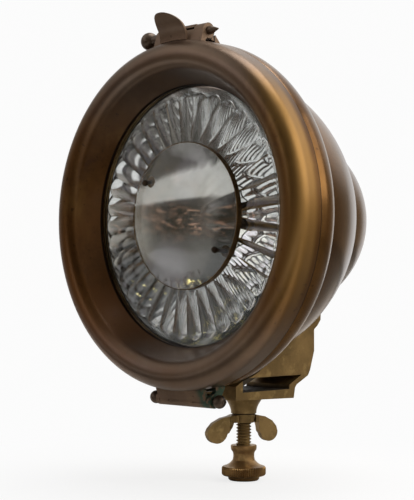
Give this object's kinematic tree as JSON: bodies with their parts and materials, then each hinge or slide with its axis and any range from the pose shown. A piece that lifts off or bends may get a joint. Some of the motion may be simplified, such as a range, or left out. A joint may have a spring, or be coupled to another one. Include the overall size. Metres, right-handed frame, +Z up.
{
  "type": "motor headlamp",
  "caption": "Round brass motor headlamp with a hinged door, ribbed front glass with a centre lens, silvered reflector, pull-pin latch and a slotted clamp bracket underneath.",
  "frame": {"origin": "centre of the bracket's socket, on the axis of the clamp screw", "axes": "+X across the lamp along the socket, +Y towards the back of the lamp, +Z up; the glass faces -Y"},
  "size_m": [0.2466, 0.2005, 0.3339],
  "materials": {
    "patina_brass": "dark brown patina, half glossy",
    "olive_brass": "satin cast brass, olive brown",
    "inner_brass": "plain brass",
    "dark_pin": "brass turned nearly black",
    "clear_glass": "clear",
    "lens_glass": "clear, slightly smoky",
    "bulb_glass": "clear",
    "silvered": "old silvering",
    "black_rubber": "matt",
    "vulcanite": "dark brown"
  },
  "bodies": {
    "lamp_body": {"front_band": "patina_brass", "middle_shell": "patina_brass", "rear_dome": "patina_brass", "mouth_ring": "inner_brass", "reflector": "silvered", "reflector_screws": "inner_brass", "reflector_neck": "inner_brass", "bulb_glass": "bulb_glass", "bulb_stem": "bulb_glass", "bulb_cap": "inner_brass", "bulb_holder": "inner_brass", "holder_insulator": "vulcanite", "holder_contacts": "inner_brass", "holder_screw": "inner_brass", "cable_ferrule": "patina_brass", "body_hinge_leaf": "patina_brass", "body_latch_leaf": "patina_brass", "hinge_pin": "dark_pin", "saddle": "olive_brass", "saddle_rivets": "olive_brass", "socket_bracket": "olive_brass"},
    "door": {"bezel": "patina_brass", "glass_seal": "black_rubber", "front_glass": "clear_glass", "glass_retainer": "inner_brass", "center_lens": "lens_glass", "lens_rim": "inner_brass", "lens_screws": "dark_pin", "lens_nuts": "inner_brass", "door_hinge_leaf": "patina_brass", "door_latch_leaf": "patina_brass", "thumb_tab": "patina_brass"},
    "latch_pin": {"latch_pin": "dark_pin"},
    "lock_washer": {"lock_washer": "olive_brass"},
    "wing_nut": {"wing_nut": "olive_brass"},
    "clamp_pad": {"clamp_pad": "olive_brass"},
    "clamp_screw": {"clamp_screw": "olive_brass", "clamp_knob": "olive_brass"}
  },
  "joints": [
    {"name": "door_swing", "type": "hinge", "parent": "lamp_body", "child": "door", "pos_m": [0, -0.0587, -0.0089], "axis": [1, 0, 0], "range_deg": [0, 165]},
    {"name": "latch_pull", "type": "slide", "parent": "door", "child": "latch_pin", "axis": [-1, 0, 0], "range_m": [0, 0.05]},
    {"name": "washer_slide", "type": "slide", "parent": "lamp_body", "child": "lock_washer", "axis": [0, 0, -1], "range_m": [0, 0.0069]},
    {"name": "nut_turn", "type": "hinge", "parent": "lock_washer", "child": "wing_nut", "pos_m": [0, 0, -0.026], "axis": [0, 0, -1], "range_deg": [0, 1080]},
    {"name": "pad_slide", "type": "slide", "parent": "lamp_body", "child": "clamp_pad", "axis": [0, 0, 1], "range_m": [0, 0.0092]},
    {"name": "screw_turn", "type": "hinge", "parent": "clamp_pad", "child": "clamp_screw", "pos_m": [0, 0, -0.04], "axis": [0, 0, 1], "range_deg": [0, 1440]}
  ],
  "couplings": [
    {"joint": "washer_slide", "follows": "nut_turn", "m_per_rad": 0.00036606},
    {"joint": "pad_slide", "follows": "screw_turn", "m_per_rad": 0.00036606}
  ]
}
